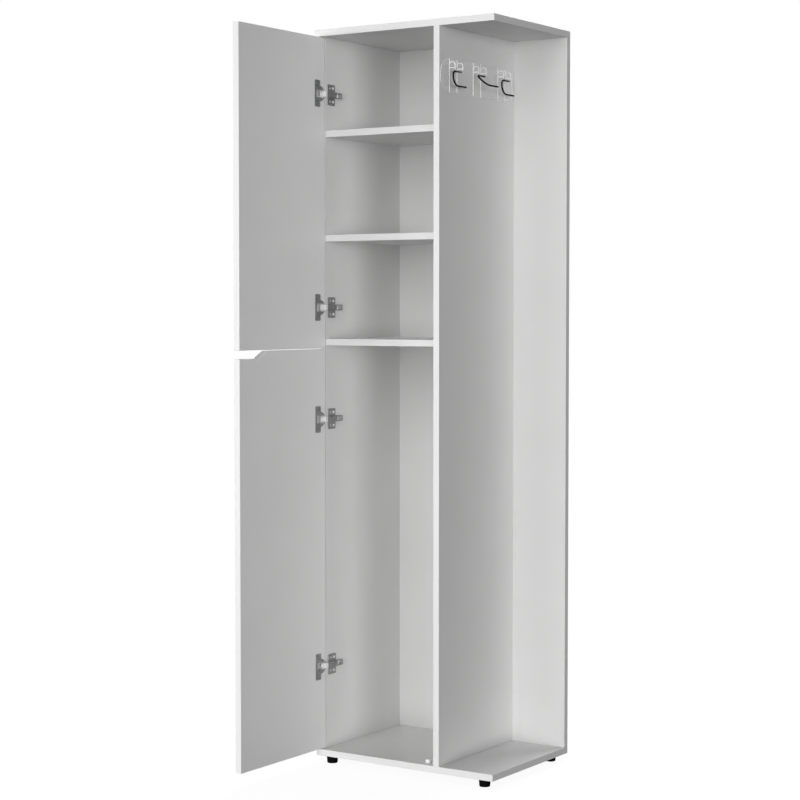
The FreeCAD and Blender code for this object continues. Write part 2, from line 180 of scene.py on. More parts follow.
def board(node, axis, body, facing, band):
    # A board with the facing on its two faces and the band on its edges.
    piece = softened(node, band_round, shortest_banded, [facing, band],
                     lambda face: 0 if abs(face.normal[axis]) > square_on else 1)
    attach(piece, body)
    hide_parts(node)


for node, axis in board_axis.items():
    board(node, axis, "carcass", board_face, level_band if axis == 2 else upright_band)

# Feet: four short tapered plugs of black plastic under the corners, moulded with a fine grain.
# Each is held by a screw from below, whose head is sunk in the foot.
foot_black = new_finish("black_moulded_plastic", (0.002, 0.002, 0.002), 0.5)
foot_black.node_tree.nodes["Principled BSDF"].inputs["Specular IOR Level"].default_value = 0.06
tones(foot_black, mottle(foot_black, 220.0), (0.001, 0.001, 0.001), (0.003, 0.003, 0.003))
gloss(foot_black, mottle(foot_black, 400.0), 0.40, 0.58)
relief(foot_black, mottle(foot_black, 2400.0, 2.0), 0.00008)
foot_round, shortest_rounded = 0.0006, 0.0005
for corner in ("front_left", "front_right", "rear_left", "rear_right"):
    node = "foot_" + corner
    foot = softened(node, foot_round, shortest_rounded, [foot_black], lambda face: 0, steps=3)
    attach(foot, "carcass")
    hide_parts(node)

# Screws and turning cams. The long joining screws have flat heads with a hexagon socket, let in flush.
# The shelf cams are round zinc castings with a cross slot. All are one shape in different sizes, set in rows.
zinc_plate = new_finish("zinc_plated_steel", (0.80, 0.80, 0.81), 0.3, 1.0)
tones(zinc_plate, mottle(zinc_plate, 500.0, 4.0), (0.74, 0.74, 0.75), (0.88, 0.88, 0.88))
gloss(zinc_plate, mottle(zinc_plate, 900.0), 0.22, 0.40)
relief(zinc_plate, mottle(zinc_plate, 1500.0), 0.00003)
zinc_cast = new_finish("die_cast_zinc", (0.50, 0.50, 0.51), 0.5, 1.0)
tones(zinc_cast, mottle(zinc_cast, 300.0, 5.0), (0.42, 0.42, 0.43), (0.56, 0.56, 0.57))
gloss(zinc_cast, mottle(zinc_cast, 600.0), 0.42, 0.62)
relief(zinc_cast, mottle(zinc_cast, 1100.0, 4.0), 0.00008)

head_tree = bpy.data.node_groups.new("recessed_heads", "GeometryNodeTree")
for name, kind in (("Seats", "NodeSocketGeometry"), ("Radius", "NodeSocketFloat"), ("Height", "NodeSocketFloat"),
                   ("Top share", "NodeSocketFloat"), ("Slot depth", "NodeSocketFloat"),
                   ("Hexagon", "NodeSocketBool"), ("Facing", "NodeSocketRotation"), ("Finish", "NodeSocketMaterial")):
    head_tree.interface.new_socket(name, in_out="INPUT", socket_type=kind)
head_tree.interface.new_socket("Heads", in_out="OUTPUT", socket_type="NodeSocketGeometry")


def head_node(kind, **settings):
    # A new node of the tree.
    node = head_tree.nodes.new(kind)
    for name, value in settings.items():
        setattr(node, name, value)
    return node


def head_fed(node, *values):
    # Gives a node its values in turn: plain numbers, or what other nodes put out.
    for socket, value in zip(node.inputs, values):
        if isinstance(value, (int, float)):
            socket.default_value = value
        else:
            head_tree.links.new(value, socket)
    return node.outputs[0]


def head_math(operation, first, second):
    # A number worked out from two others.
    return head_fed(head_node("ShaderNodeMath", operation=operation), first, second)


def head_vector(x, y, z):
    # Three numbers as one place or size.
    return head_fed(head_node("ShaderNodeCombineXYZ"), x, y, z)


def head_moved(geometry, offset):
    # A shape moved by an offset.
    node = head_node("GeometryNodeTransform")
    head_tree.links.new(geometry, node.inputs["Geometry"])
    head_tree.links.new(offset, node.inputs["Translation"])
    return node.outputs["Geometry"]


given = head_node("NodeGroupInput").outputs
drum = head_node("GeometryNodeMeshCylinder")
drum.inputs["Vertices"].default_value = 28
drum.inputs["Side Segments"].default_value = 3
head_tree.links.new(given["Radius"], drum.inputs["Radius"])
head_tree.links.new(given["Height"], drum.inputs["Depth"])
drum_up = head_moved(drum.outputs["Mesh"], head_vector(0, 0, head_math("MULTIPLY", given["Height"], 0.5)))
at = head_node("GeometryNodeInputPosition").outputs["Position"]
split = head_node("ShaderNodeSeparateXYZ")
head_tree.links.new(at, split.inputs["Vector"])
near_top = head_math("GREATER_THAN", split.outputs["Z"], head_math("MULTIPLY", given["Height"], 0.9))
draw_in = head_math("SUBTRACT", given["Top share"], 1.0)
shape_top = head_node("GeometryNodeSetPosition")
head_tree.links.new(drum_up, shape_top.inputs["Geometry"])
head_tree.links.new(near_top, shape_top.inputs["Selection"])
head_tree.links.new(head_vector(head_math("MULTIPLY", split.outputs["X"], draw_in),
                                head_math("MULTIPLY", split.outputs["Y"], draw_in), 0), shape_top.inputs["Offset"])
slot_long = head_math("MULTIPLY", given["Radius"], 1.25)
slot_wide = head_math("MULTIPLY", given["Radius"], 0.28)
slot_tall = head_math("MULTIPLY", given["Slot depth"], 2.0)
cross = head_node("GeometryNodeJoinGeometry")
for long_side, wide_side in ((slot_long, slot_wide), (slot_wide, slot_long)):
    bar = head_node("GeometryNodeMeshCube")
    head_tree.links.new(head_vector(long_side, wide_side, slot_tall), bar.inputs["Size"])
    head_tree.links.new(bar.outputs["Mesh"], cross.inputs["Geometry"])
hexagon = head_node("GeometryNodeMeshCylinder")
hexagon.inputs["Vertices"].default_value = 6
head_tree.links.new(head_math("MULTIPLY", given["Radius"], 0.5), hexagon.inputs["Radius"])
head_tree.links.new(slot_tall, hexagon.inputs["Depth"])
socket_kind = head_node("GeometryNodeSwitch", input_type="GEOMETRY")
head_tree.links.new(given["Hexagon"], socket_kind.inputs["Switch"])
head_tree.links.new(cross.outputs["Geometry"], socket_kind.inputs["False"])
head_tree.links.new(hexagon.outputs["Mesh"], socket_kind.inputs["True"])
cutter = head_moved(socket_kind.outputs["Output"], head_vector(0, 0, given["Height"]))
sunk = head_node("GeometryNodeMeshBoolean", operation="DIFFERENCE", solver="EXACT")
sunk.inputs["Self Intersection"].default_value = True
head_tree.links.new(shape_top.outputs["Geometry"], sunk.inputs["Mesh 1"])
head_tree.links.new(cutter, sunk.inputs["Mesh 2"])
turn = head_node("FunctionNodeRandomValue", data_type="FLOAT")
turn.inputs[3].default_value = math.radians(90)
turn.inputs["Seed"].default_value = 4
turn_up = head_node("FunctionNodeAxisAngleToRotation")
turn_up.inputs["Axis"].default_value = (0, 0, 1)
head_tree.links.new(turn.outputs[1], turn_up.inputs["Angle"])
turned = head_node("FunctionNodeRotateRotation", rotation_space="LOCAL")
head_tree.links.new(given["Facing"], turned.inputs["Rotation"])
head_tree.links.new(turn_up.outputs["Rotation"], turned.inputs["Rotate By"])
rows = head_node("GeometryNodeInstanceOnPoints")
head_tree.links.new(given["Seats"], rows.inputs["Points"])
head_tree.links.new(sunk.outputs["Mesh"], rows.inputs["Instance"])
head_tree.links.new(turned.outputs["Rotation"], rows.inputs["Rotation"])
real = head_node("GeometryNodeRealizeInstances")
head_tree.links.new(rows.outputs["Instances"], real.inputs["Geometry"])
dressed = head_node("GeometryNodeSetMaterial")
head_tree.links.new(real.outputs["Geometry"], dressed.inputs["Geometry"])
head_tree.links.new(given["Finish"], dressed.inputs["Material"])
head_tree.links.new(dressed.outputs["Geometry"], head_node("NodeGroupOutput").inputs["Heads"])


def grown(name, points, edges, tree, values):
    # Runs a tree on bare points or lines and keeps the result as a plain mesh.
    seed = bpy.data.meshes.new(name + "_seed")
    seed.from_pydata(points, edges, [])
    piece = bpy.data.objects.new(name, seed)
    bpy.context.scene.collection.objects.link(piece)
    modifier = piece.modifiers.new("grow", "NODES")
    modifier.node_group = tree
    for item in tree.interface.items_tree:
        if item.in_out == "INPUT" and item.name in values:
            modifier[item.identifier] = values[item.name]
    bpy.context.view_layer.update()
    grown_mesh = bpy.data.meshes.new_from_object(piece.evaluated_get(bpy.context.evaluated_depsgraph_get()))
    piece.modifiers.remove(modifier)
    piece.data = grown_mesh
    return piece


def heads(name, seats, facing, sizes, finish, body, node):
    # Rows of heads on their seats. facing is the way that the heads look.
    turned_to = Vector((0, 0, 1)).rotation_difference(Vector(facing)).to_euler()
    piece = grown(name, seats, [], head_tree, {**sizes, "Facing": turned_to, "Finish": finish})
    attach(piece, body)
    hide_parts(node)


def solid_boxes(node):
    # The lowest and highest corner of each separate solid of a node, sorted so that every run is the same.
    place_digits = 5
    shape = bmesh.new()
    shape.from_mesh(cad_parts[node].data)
    bmesh.ops.remove_doubles(shape, verts=shape.verts, dist=weld)
    left, boxes = set(shape.verts), []
    while left:
        group, front = set(), [left.pop()]
        while front:
            corner = front.pop()
            group.add(corner)
            for edge in corner.link_edges:
                other = edge.other_vert(corner)
                if other in left:
                    left.discard(other)
                    front.append(other)
        lows = [min(v.co[i] for v in group) for i in range(3)]
        highs = [max(v.co[i] for v in group) for i in range(3)]
        boxes.append((Vector(lows), Vector(highs)))
    shape.free()
    return sorted(boxes, key=lambda box: tuple(round(value, place_digits) for value in box[0]))


joining_head = {"Radius": 0.0047, "Height": 0.0028, "Top share": 0.98, "Slot depth": 0.0022, "Hexagon": True}
flush = 0.0002             # a head lies this far below the face of the board
for node, axis, side in (("top_screws", 2, 1), ("bottom_screws", 2, -1),
                         ("back_screws", 1, 1), ("side_screws", 0, -1)):
    facing = Vector((0, 0, 0))
    facing[axis] = side
    seats = []
    for low, high in solid_boxes(node):
        seat = (low + high) / 2
        seat[axis] = (high if side > 0 else low)[axis] - side * (joining_head["Height"] + flush)
        seats.append(seat)
    heads(node + "_heads", seats, facing, joining_head, zinc_plate, "carcass", node)
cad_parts["foot_screws"].data.materials[0] = zinc_plate
cam_head = {"Radius": 0.0072, "Height": 0.0120, "Top share": 0.97, "Slot depth": 0.0030, "Hexagon": False}
cam_seats = []
for low, high in solid_boxes("cam_locks"):
    seat = (low + high) / 2
    seat.z = low.z + cam_head["Height"] + flush
    cam_seats.append(seat)
heads("cam_locks_turned", cam_seats, (0, 0, -1), cam_head, zinc_cast, "carcass", "cam_locks")

# Shelves, and the bolts and dowels that carry them. Same board as the carcass, banded along the front.
# The steel bolts and beech dowels sit in drilled holes in the ends and don't show.
dowel_beech = new_finish("beech_dowel", (0.62, 0.45, 0.28), 0.6)
beech_grain = mottle(dowel_beech, 1.0, 5.0, (40.0, 900.0, 900.0))
tones(dowel_beech, beech_grain, (0.52, 0.36, 0.21), (0.70, 0.53, 0.35))
gloss(dowel_beech, beech_grain, 0.52, 0.70)
relief(dowel_beech, beech_grain, 0.0001)
for node in ("upper_shelf", "middle_shelf", "lower_shelf"):
    board(node, 2, "carcass", board_face, level_band)
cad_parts["dowels"].data.materials[0] = dowel_beech
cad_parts["cam_bolts"].data.materials[0] = zinc_plate

# Doors: two leaves of the same board, banded all round, in lighter copies of its facing and band: painted light.
# The lower one has a finger pull cut as a slope in its top corner, and its band follows the slope.
door_melamine_painted_light = melamine("white_melamine_painted_light", (0.890, 0.890, 0.888), (0.912, 0.912, 0.910))
door_band_painted_light = edge_band("white_edge_band_painted_light", (700.0, 700.0, 4.0), (0.860, 0.860, 0.858), (0.900, 0.900, 0.898))
for node in ("upper_door", "lower_door"):
    board(node, 0, node, door_melamine_painted_light, door_band_painted_light)

# Concealed hinges: pressed steel with a satin nickel plating. A winged cup sits in the door, an arm with a nose
# reaches round into it, and a cross plate screwed to the side panel carries the arm. The nose is drawn white, a
# painted highlight.
satin_nickel = new_finish("satin_nickel_steel", (0.40, 0.40, 0.41), 0.36, 1.0)
tones(satin_nickel, mottle(satin_nickel, 1.0, 4.0, (300.0, 60.0, 900.0)), (0.34, 0.34, 0.35), (0.47, 0.47, 0.48))
gloss(satin_nickel, mottle(satin_nickel, 420.0), 0.30, 0.46)
relief(satin_nickel, mottle(satin_nickel, 1600.0), 0.00003)


def plated(name, dark, light, smooth, rough, metallic):
    # Smooth plating with fine streaks across the pressing, also used for the copies of the steel that paint light on
    # it.
    finish = new_finish(name, light, rough, metallic)
    tones(finish, mottle(finish, 1.0, 4.0, (200.0, 200.0, 1200.0)), dark, light)
    gloss(finish, mottle(finish, 700.0), smooth, rough)
    relief(finish, mottle(finish, 1600.0), 0.00002)
    return finish


# White finish for the arm's nose, neck, knuckle and latch: a painted highlight, not a plating.
nose_painted_highlight = plated("white_nose_painted_highlight", (0.97, 0.97, 0.97), (1.0, 1.0, 1.0), 0.18, 0.28, 0.0)
# Paler copy of the steel, painted light in the cup's tub and lugs and in the plate's holes; on the plate screws it is
# partly real zinc and partly a painted highlight.
pale_steel_painted_light = plated("pale_steel_with_painted_light", (0.82, 0.82, 0.82), (0.90, 0.90, 0.90), 0.30, 0.44, 0.3)
bright_nickel = plated("bright_nickel_steel", (0.86, 0.86, 0.85), (0.95, 0.95, 0.94), 0.20, 0.34, 1.0)


def rounded_loop(low, high, radius, steps=5):
    # The outline of a rectangle with round corners, without doubled points where two corners meet.
    same_point = 1e-7
    points = []
    for corner, (u, v) in enumerate(((high[0] - radius, high[1] - radius), (low[0] + radius, high[1] - radius),
                                     (low[0] + radius, low[1] + radius), (high[0] - radius, low[1] + radius))):
        for step in range(steps + 1):
            angle = math.radians(90 * (corner + step / steps))
            points.append((u + radius * math.cos(angle), v + radius * math.sin(angle)))
    return [point for n, point in enumerate(points) if math.dist(point, points[n - 1]) > same_point]


def round_loop(middle, radius, steps=40, start=0.0, end=360.0):
    # Points round a circle, or along a part of it.
    turns = steps if end - start == 360.0 else steps + 1
    angles = [math.radians(start + (end - start) * step / steps) for step in range(turns)]
    return [(middle[0] + radius * math.cos(angle), middle[1] + radius * math.sin(angle)) for angle in angles]


def pressed(shape, loops, axis, low, high, radius, finish=0):
    # A flat blank with openings, cut along an axis from low to high and eased at its rims.
    # The first loop is the outline; points are in the two axes that follow the cut.
    fresh = bmesh.new()
    caps = ([], [])
    for loop in loops:
        rings = []
        for level in (low, high):
            ring = []
            for u, v in loop:
                place = [0.0, 0.0, 0.0]
                place[axis], place[(axis + 1) % 3], place[(axis + 2) % 3] = level, u, v
                ring.append(fresh.verts.new(place))
            rings.append(ring)
        for n in range(len(loop)):
            follow = (n + 1) % len(loop)
            fresh.faces.new((rings[0][n], rings[0][follow], rings[1][follow], rings[1][n]))
            for cap, ring in zip(caps, rings):
                cap.append(fresh.edges.get((ring[n], ring[follow])))
    for cap in caps:
        bmesh.ops.triangle_fill(fresh, edges=cap, use_beauty=True)
    bmesh.ops.recalc_face_normals(fresh, faces=fresh.faces)
    bmesh.ops.bevel(fresh, geom=caps[0] + caps[1], offset=radius, segments=2, profile=0.5, affect="EDGES")
    add_shape(shape, fresh, finish)


def bevelled_block(shape, low, high, radius, finish=0):
    # A block with rounded edges.
    fresh = bmesh.new()
    bmesh.ops.create_cube(fresh, size=1.0)
    for corner in fresh.verts:
        corner.co = Vector(low[i] + (high[i] - low[i]) * (corner.co[i] + 0.5) for i in range(3))
    bmesh.ops.bevel(fresh, geom=fresh.edges[:], offset=radius, segments=3, profile=0.5, affect="EDGES")
    add_shape(shape, fresh, finish)


def add_shape(shape, fresh, finish):
    # Puts one shape into another in its finish.
    smooth_below = math.radians(35)
    for face in fresh.faces:
        face.material_index = finish
        face.smooth = True
    for edge in fresh.edges:
        edge.smooth = len(edge.link_faces) == 2 and edge.calc_face_angle(0.0) < smooth_below
    part = bpy.data.meshes.new("part")
    fresh.to_mesh(part)
    fresh.free()
    shape.from_mesh(part)
    bpy.data.meshes.remove(part)


def shape_piece(name, shape, finishes, body, node):
    # Closes a shape into a piece at the origin that rides on its body.
    mesh = bpy.data.meshes.new(name)
    for finish in finishes:
        mesh.materials.append(finish)
    shape.to_mesh(mesh)
    shape.free()
    piece = bpy.data.objects.new(name, mesh)
    bpy.context.scene.collection.objects.link(piece)
    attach(piece, body)
    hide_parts(node)
    return piece


def hole_walls_painted_light(face, low, high):
    # The walls of a plate's holes take the paler finish: painted light for the white board seen through them.
    from_edge, wall_below = 0.0015, 0.95
    place = face.calc_center_median()
    inside = min(place.y - low.y, high.y - place.y, place.z - low.z, high.z - place.z)
    return 1 if abs(face.normal.x) < wall_below and inside > from_edge else 0


hinge_doors = {"upper_door_top": "upper_door", "upper_door_bottom": "upper_door",
               "lower_door_top": "lower_door", "lower_door_bottom": "lower_door"}
door_inside = -0.2340      # inner face of the open doors
pin_x, pin_y = -0.2410, -0.01075
cup_y = -0.02425
wing_front, wing_rear, wing_half, wing_corner = -0.04525, -0.02375, 0.032, 0.003
disc_radius = 0.0185
opening_front, opening_rear, opening_half, opening_corner = -0.0385, pin_y + 0.0019, 0.0098, 0.0035
flange_lift, flange_thickness, flange_rim = 0.00005, 0.0012, 0.0004
tub_radius, tub_bore, tub_depth, tub_lip = 0.0173, 0.0167, 0.0123, 0.0002
base_radius, base_under, base_over = 0.0172, 0.0124, 0.0117
tub_rim = 0.0001
lug_inner, lug_outer, lug_round = 0.0045, 0.0075, 0.0006
lug_depth, lug_reach, lug_front, lug_rear = 0.0119, 0.0035, 0.0035, 0.0013
plate_round = 0.0005
knuckle_radius, knuckle_bore, knuckle_half, knuckle_rim = 0.0024, 0.00157, 0.0040, 0.0002
nose_front = pin_y - 0.0012
arm_top = -0.2260
for name, door in hinge_doors.items():
    plate_low, plate_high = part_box("hinge_plate_" + name)
    arm_under, arm_rear = plate_high.x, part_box("hinge_arm_" + name)[1].y
    middle = (plate_low.z + plate_high.z) / 2
    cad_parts["hinge_pin_" + name].data.materials[0] = bright_nickel

    # Cup: a winged flange with an opening, and under it a round tub with two lugs for the pin.
    # The tub and lugs are in the paler copy of the steel, painted light.
    wing = rounded_loop((wing_front, middle - wing_half), (wing_rear, middle + wing_half), wing_corner)
    meets = math.degrees(math.acos((wing_rear - cup_y) / disc_radius))
    outline = [point for point in wing if point[1] > middle] + [point for point in wing if point[1] < middle]
    outline += round_loop((cup_y, middle), disc_radius, 24, -meets, meets)
    opening = rounded_loop((opening_front, middle - opening_half), (opening_rear, middle + opening_half),
                           opening_corner)
    tub = [round_loop((cup_y, middle), radius) for radius in (tub_radius, tub_bore)]
    base = round_loop((cup_y, middle), base_radius)
    cup = bmesh.new()
    pressed(cup, [outline, opening], 0, door_inside + flange_lift, door_inside + flange_thickness, flange_rim)
    pressed(cup, tub, 0, door_inside - tub_depth, door_inside + tub_lip, tub_rim, 1)
    pressed(cup, [base], 0, door_inside - base_under, door_inside - base_over, tub_rim, 1)
    for side in (-1, 1):
        lug_low, lug_high = sorted((middle + side * lug_inner, middle + side * lug_outer))
        bevelled_block(cup, (door_inside - lug_depth, pin_y - lug_front, lug_low),
                       (pin_x + lug_reach, pin_y + lug_rear, lug_high), lug_round, 1)
    shape_piece("hinge_cup_" + name + "_finished", cup, [satin_nickel, pale_steel_painted_light], door,
                "hinge_cup_" + name)

    # Mounting plate: the wings carry a screw and a spare hole each. The hole walls are drawn pale, painted light.
    plate = softened("hinge_plate_" + name, plate_round, 0.0, [satin_nickel, pale_steel_painted_light],
                     lambda face: hole_walls_painted_light(face, plate_low, plate_high))
    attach(plate, "carcass")
    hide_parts("hinge_plate_" + name)

    # Arm: a knuckle rolled round the pin, nose, body, open window and ribbed tail. The knuckle, neck, nose and latch
    # are drawn white, a painted highlight on the steel.
    # Each block has its reach in x, in y and in z from the hinge's middle, then its rounding and finish.
    arm_blocks = {
        "neck": ((pin_x + 0.0017, arm_top - 0.0090), (nose_front, nose_front + 0.0022), (-0.0040, 0.0040), 0.0005, 1),
        "nose": ((arm_top - 0.0096, arm_top), (nose_front, nose_front + 0.0020), (-0.0065, 0.0065), 0.0006, 1),
        "nose_bend": ((arm_top - 0.0026, arm_top), (nose_front + 0.0004, -0.0030), (-0.0065, 0.0065), 0.0006, 1),
        "bridge": ((arm_top - 0.0026, arm_top - 0.0003), (-0.0040, 0.0060), (-0.0062, 0.0062), 0.0006, 0),
        "body": ((arm_under, arm_top), (0.00375, 0.0332), (-0.0070, 0.0070), 0.0012, 0),
        "low_cheek": ((arm_under, arm_top - 0.0008), (0.0322, 0.0412), (-0.0070, -0.0050), 0.0005, 0),
        "high_cheek": ((arm_under, arm_top - 0.0008), (0.0322, 0.0412), (0.0050, 0.0070), 0.0005, 0),
        "tail": ((arm_under, arm_top - 0.0004), (0.0402, arm_rear), (-0.0070, 0.0070), 0.0010, 0),
        "latch": ((arm_under, arm_top - 0.0010), (0.0390, 0.0406), (-0.0046, 0.0046), 0.0004, 1)}
    for rib_y in (0.0445, 0.0500, 0.0555):
        arm_blocks["rib_" + str(rib_y)] = ((arm_top - 0.0016, arm_top + 0.0003), (rib_y - 0.0012, rib_y + 0.0012),
                                           (-0.0055, 0.0055), 0.0004, 0)
    arm = bmesh.new()
    knuckle = [round_loop((pin_x, pin_y), radius, 28) for radius in (knuckle_radius, knuckle_bore)]
    pressed(arm, knuckle, 2, middle - knuckle_half, middle + knuckle_half, knuckle_rim, 1)
    for (x_low, x_high), (y_low, y_high), (z_low, z_high), rounding, finish in arm_blocks.values():
        bevelled_block(arm, (x_low, y_low, middle + z_low), (x_high, y_high, middle + z_high), rounding, finish)
    shape_piece("hinge_arm_" + name + "_finished", arm, [satin_nickel, nose_painted_highlight], "carcass",
                "hinge_arm_" + name)

pan_head = {"Radius": 0.0034, "Height": 0.0016, "Top share": 0.80, "Slot depth": 0.0009, "Hexagon": False}
for node, body, finish in (("hinge_plate_screws", "carcass", pale_steel_painted_light),
                           ("hinge_arm_screws", "carcass", satin_nickel),
                           ("upper_door_cup_screws", "upper_door", satin_nickel),
                           ("lower_door_cup_screws", "lower_door", satin_nickel)):
    seats = []
    for low, high in solid_boxes(node):
        seat = (low + high) / 2
        seat.x = high.x - pan_head["Height"]
        seats.append(seat)
    heads(node + "_heads", seats, (1, 0, 0), pan_head, finish, body, node)

# Door stop: a small moulded block of white plastic, pegged into the bottom panel by the divider.
# The lower door shuts against it.
stop_white = new_finish("white_moulded_plastic", (0.86, 0.86, 0.86), 0.4)
tones(stop_white, mottle(stop_white, 300.0), (0.84, 0.84, 0.84), (0.88, 0.88, 0.88))
gloss(stop_white, mottle(stop_white, 500.0), 0.34, 0.48)
relief(stop_white, mottle(stop_white, 2000.0), 0.00005)
stop_round = 0.0006
stop = softened("door_stop", stop_round, 0.0, [stop_white], lambda face: 0)
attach(stop, "carcass")
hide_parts("door_stop")

# Hook rail: a clear acrylic plate with round ends, stuck to the divider by two clear pads.
# Its rim is drawn whiter and less clear than the plate, a painted highlight for the light its polished edge catches.
film = 0.00006             # play between clear pieces that lie on each other
pad_corner, pad_rim, rail_rim = 0.004, 0.0002, 0.0004
rim_below = 0.7            # faces turned further than this from the front are rim


def clear(name, alpha, smooth, rough):
    # See-through plastic with faint ripples; made less clear, it paints the highlights on the acrylic's edges.
    finish = new_finish(name, (0.94, 0.94, 0.94), smooth)
    finish.node_tree.nodes["Principled BSDF"].inputs["Alpha"].default_value = alpha
    tones(finish, mottle(finish, 30.0), (0.91, 0.92, 0.92), (0.97, 0.97, 0.97))
    gloss(finish, mottle(finish, 200.0), smooth, rough)
    relief(finish, mottle(finish, 60.0), 0.00005, 0.1)
    return finish


clear_face = clear("clear_acrylic", 0.05, 0.04, 0.10)
rim_painted_highlight = clear("acrylic_rim_painted_highlight", 0.60, 0.10, 0.22)
edge_painted_highlight = clear("acrylic_edge_painted_highlight", 0.90, 0.12, 0.26)
pad_gel = clear("clear_gel_pad", 0.04, 0.30, 0.50)
pads = bmesh.new()
for low, high in solid_boxes("rail_pads"):
    pad = rounded_loop((low.y, low.z), (high.y, high.z), pad_corner)
    pressed(pads, [pad], 0, low.x + film, high.x - film, pad_rim)
pads = shape_piece("rail_pads_finished", pads, [pad_gel], "carcass", "rail_pads")
rail_low, rail_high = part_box("rail_plate")
end_round = (rail_high.z - rail_low.z) / 2
rail = bmesh.new()
rail_outline = rounded_loop((rail_low.y, rail_low.z), (rail_high.y, rail_high.z), end_round, 14)
pressed(rail, [rail_outline], 0, rail_low.x + film, rail_high.x - film, rail_rim)
for face in rail.faces:
    face.material_index = 1 if abs(face.normal.x) < rim_below else 0
rail = shape_piece("rail_plate_finished", rail, [clear_face, rim_painted_highlight], "carcass", "rail_plate")
for piece in (pads, rail):  # clear pieces throw no shade
    piece.visible_shadow = False
    piece.visible_diffuse = False

# Hook holders: three clear bands, cut from a strip bent to a P, stuck upright on the rail.
# A barrel under the loop takes the hook's arm. The cut ends are drawn nearly opaque white, a painted highlight for
# their shine.
band_thickness, holder_rim = 0.0025, 0.0003
bend_x, bend_z, bend_outer, bend_inner = 0.11575, 1.66975, 0.00925, 0.00675
bend_meets_band = 136.8    # the angle at which the outside of the loop runs into the band
web_low, web_high = 1.6625, 1.6650
lip_inner, lip_outer, lip_low = 0.1225, 0.1250, 1.6585
barrel_x, barrel_z, barrel_radius, barrel_bore, barrel_half = 0.1220, 1.6555, 0.0045, 0.00206, 0.011
cut_end_above = 0.5        # faces that look along the rail are cut ends
for place in ("front", "middle", "rear"):
    node = "hook_holder_" + place
    low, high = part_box(node)
    y = (low.y + high.y) / 2
    back, front = low.x + film, low.x + band_thickness
    profile = [(back, low.z), (front, low.z), (front, web_low), (lip_inner, web_low), (lip_inner, lip_low),
               (lip_outer, lip_low)]
    profile += round_loop((bend_x, bend_z), bend_outer, 18, 0.0, bend_meets_band) + [(front, high.z), (back, high.z)]
    loop = [(front, web_high), (lip_inner, web_high)] + round_loop((bend_x, bend_z), bend_inner, 18, 0.0, 180.0)
    barrel = [round_loop((barrel_z, barrel_x), radius, 24) for radius in (barrel_radius, barrel_bore)]
    holder = bmesh.new()
    pressed(holder, [[(z, x) for x, z in profile], [(z, x) for x, z in loop]], 1, low.y, high.y, holder_rim)
    for face in holder.faces:
        face.material_index = 1 if abs(face.normal.y) > cut_end_above else 0
    pressed(holder, barrel, 1, y - barrel_half, y + barrel_half, holder_rim)
    holder = shape_piece(node + "_finished", holder, [clear_face, edge_painted_highlight], "carcass", node)
    holder.visible_shadow = False
    holder.visible_diffuse = False

# Wire hooks: 4 mm steel wire bent to an open C and dipped in black coating, which rounds the ends.
# The short top arm turns in the holder's barrel.
wire_coat = new_finish("black_dip_coating", (0.002, 0.002, 0.002), 0.5)
wire_coat.node_tree.nodes["Principled BSDF"].inputs["Specular IOR Level"].default_value = 0.06
tones(wire_coat, mottle(wire_coat, 300.0), (0.001, 0.001, 0.001), (0.003, 0.003, 0.003))
gloss(wire_coat, mottle(wire_coat, 500.0), 0.42, 0.58)
relief(wire_coat, mottle(wire_coat, 1300.0), 0.00004)
wire_tree = bpy.data.node_groups.new("bent_wire", "GeometryNodeTree")
for name, kind in (("Line", "NodeSocketGeometry"), ("Radius", "NodeSocketFloat"), ("Finish", "NodeSocketMaterial")):
    wire_tree.interface.new_socket(name, in_out="INPUT", socket_type=kind)
wire_tree.interface.new_socket("Wire", in_out="OUTPUT", socket_type="NodeSocketGeometry")
wire_nodes = {kind: wire_tree.nodes.new(kind) for kind in (
    "NodeGroupInput", "GeometryNodeMeshToCurve", "GeometryNodeCurvePrimitiveCircle", "GeometryNodeCurveToMesh",
    "GeometryNodeCurveEndpointSelection", "GeometryNodeMeshUVSphere", "GeometryNodeInstanceOnPoints",
    "GeometryNodeJoinGeometry", "GeometryNodeRealizeInstances", "GeometryNodeSetShadeSmooth",
    "GeometryNodeSetMaterial", "NodeGroupOutput")}
wire_nodes["GeometryNodeCurvePrimitiveCircle"].inputs["Resolution"].default_value = 16
wire_nodes["GeometryNodeMeshUVSphere"].inputs["Segments"].default_value = 16
wire_nodes["GeometryNodeMeshUVSphere"].inputs["Rings"].default_value = 10
wire_nodes["GeometryNodeCurveToMesh"].inputs["Fill Caps"].default_value = True
